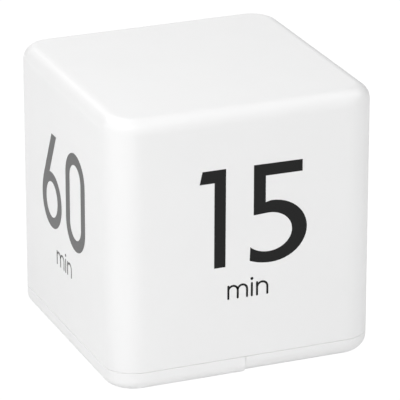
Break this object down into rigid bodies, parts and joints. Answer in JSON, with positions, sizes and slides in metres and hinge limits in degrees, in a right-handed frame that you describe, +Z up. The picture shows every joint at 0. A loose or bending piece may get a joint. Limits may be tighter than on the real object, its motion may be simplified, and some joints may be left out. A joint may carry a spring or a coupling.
{
  "type": "cube timer",
  "caption": "White cube countdown timer with a number on each side, set by turning a side up, with a battery door, display, buzzer and power switch in its base.",
  "frame": {"origin": "middle of the underside", "axes": "+Z up from the base to the blank top; -Y out of the 15 minute face; -X out of the 60 minute face, the way the battery door slides"},
  "size_m": [0.0636, 0.0636, 0.0635],
  "materials": {
    "case_plastic": "gloss",
    "pad_foam": "matte",
    "screw_steel": "satin",
    "cell_steel": "satin",
    "cell_jacket": "gloss",
    "contact_steel": "satin",
    "wire_red": "satin",
    "wire_black": "satin",
    "board_laminate": "satin",
    "black_resin": "satin",
    "crystal_can": "satin",
    "capacitor_sleeve": "gloss",
    "clear_window": "gloss",
    "polariser_film": "gloss",
    "display_glass": "gloss",
    "reflector_film": "satin",
    "holder_plastic": "matte",
    "strip_rubber": "matte",
    "knob_plastic": "satin",
    "slider_plastic": "satin",
    "terminal_board": "satin",
    "buzzer_brass": "satin",
    "buzzer_ceramic": "satin",
    "lamp_lens": "gloss",
    "tinned_lead": "satin",
    "tilt_brass": "satin",
    "ball_steel": "gloss",
    "printed_ink": "gloss"
  },
  "bodies": {
    "root": {"case_shell": "case_plastic", "base_cover": "case_plastic", "case_screws": "screw_steel", "inner_cell": "cell_steel", "inner_cell_jacket": "cell_jacket", "outer_cell": "cell_steel", "outer_cell_jacket": "cell_jacket", "positive_contact": "contact_steel", "negative_contact": "contact_steel", "bridge_contact": "contact_steel", "battery_springs": "contact_steel", "positive_wire": "wire_red", "negative_wire": "wire_black", "circuit_board": "board_laminate", "board_screws": "screw_steel", "controller_cap": "black_resin", "crystal": "crystal_can", "transistor": "black_resin", "resistors": "black_resin", "capacitor": "capacitor_sleeve", "display_window": "clear_window", "front_polariser": "polariser_film", "front_glass": "display_glass", "rear_glass": "display_glass", "reflector": "reflector_film", "display_holder": "holder_plastic", "contact_strip": "strip_rubber", "switch_can": "screw_steel", "switch_terminals": "terminal_board", "buzzer_disc": "buzzer_brass", "buzzer_ceramic": "buzzer_ceramic", "buzzer_signal_wire": "wire_red", "buzzer_ground_wire": "wire_black", "led_lens": "lamp_lens", "led_leads": "tinned_lead", "tilt_x_can": "tilt_brass", "tilt_x_plug": "black_resin", "tilt_y_can": "tilt_brass", "tilt_y_plug": "black_resin"},
    "door": {"battery_door": "case_plastic", "battery_pad": "pad_foam"},
    "power_switch": {"switch_knob": "knob_plastic", "switch_slider": "slider_plastic"},
    "ball_x": {"tilt_x_ball": "ball_steel"},
    "ball_y": {"tilt_y_ball": "ball_steel"}
  },
  "joints": [
    {"name": "battery_door_slide", "type": "slide", "parent": "root", "child": "door", "axis": [-1, 0, 0], "range_m": [0, 0.026]},
    {"name": "power_switch_slide", "type": "slide", "parent": "root", "child": "power_switch", "axis": [1, 0, 0], "range_m": [0, 0.003]},
    {"name": "ball_x_roll", "type": "slide", "parent": "root", "child": "ball_x", "axis": [1, 0, 0], "range_m": [-0.0016, 0.0016]},
    {"name": "ball_y_roll", "type": "slide", "parent": "root", "child": "ball_y", "axis": [0, 1, 0], "range_m": [-0.0016, 0.0016]}
  ]
}
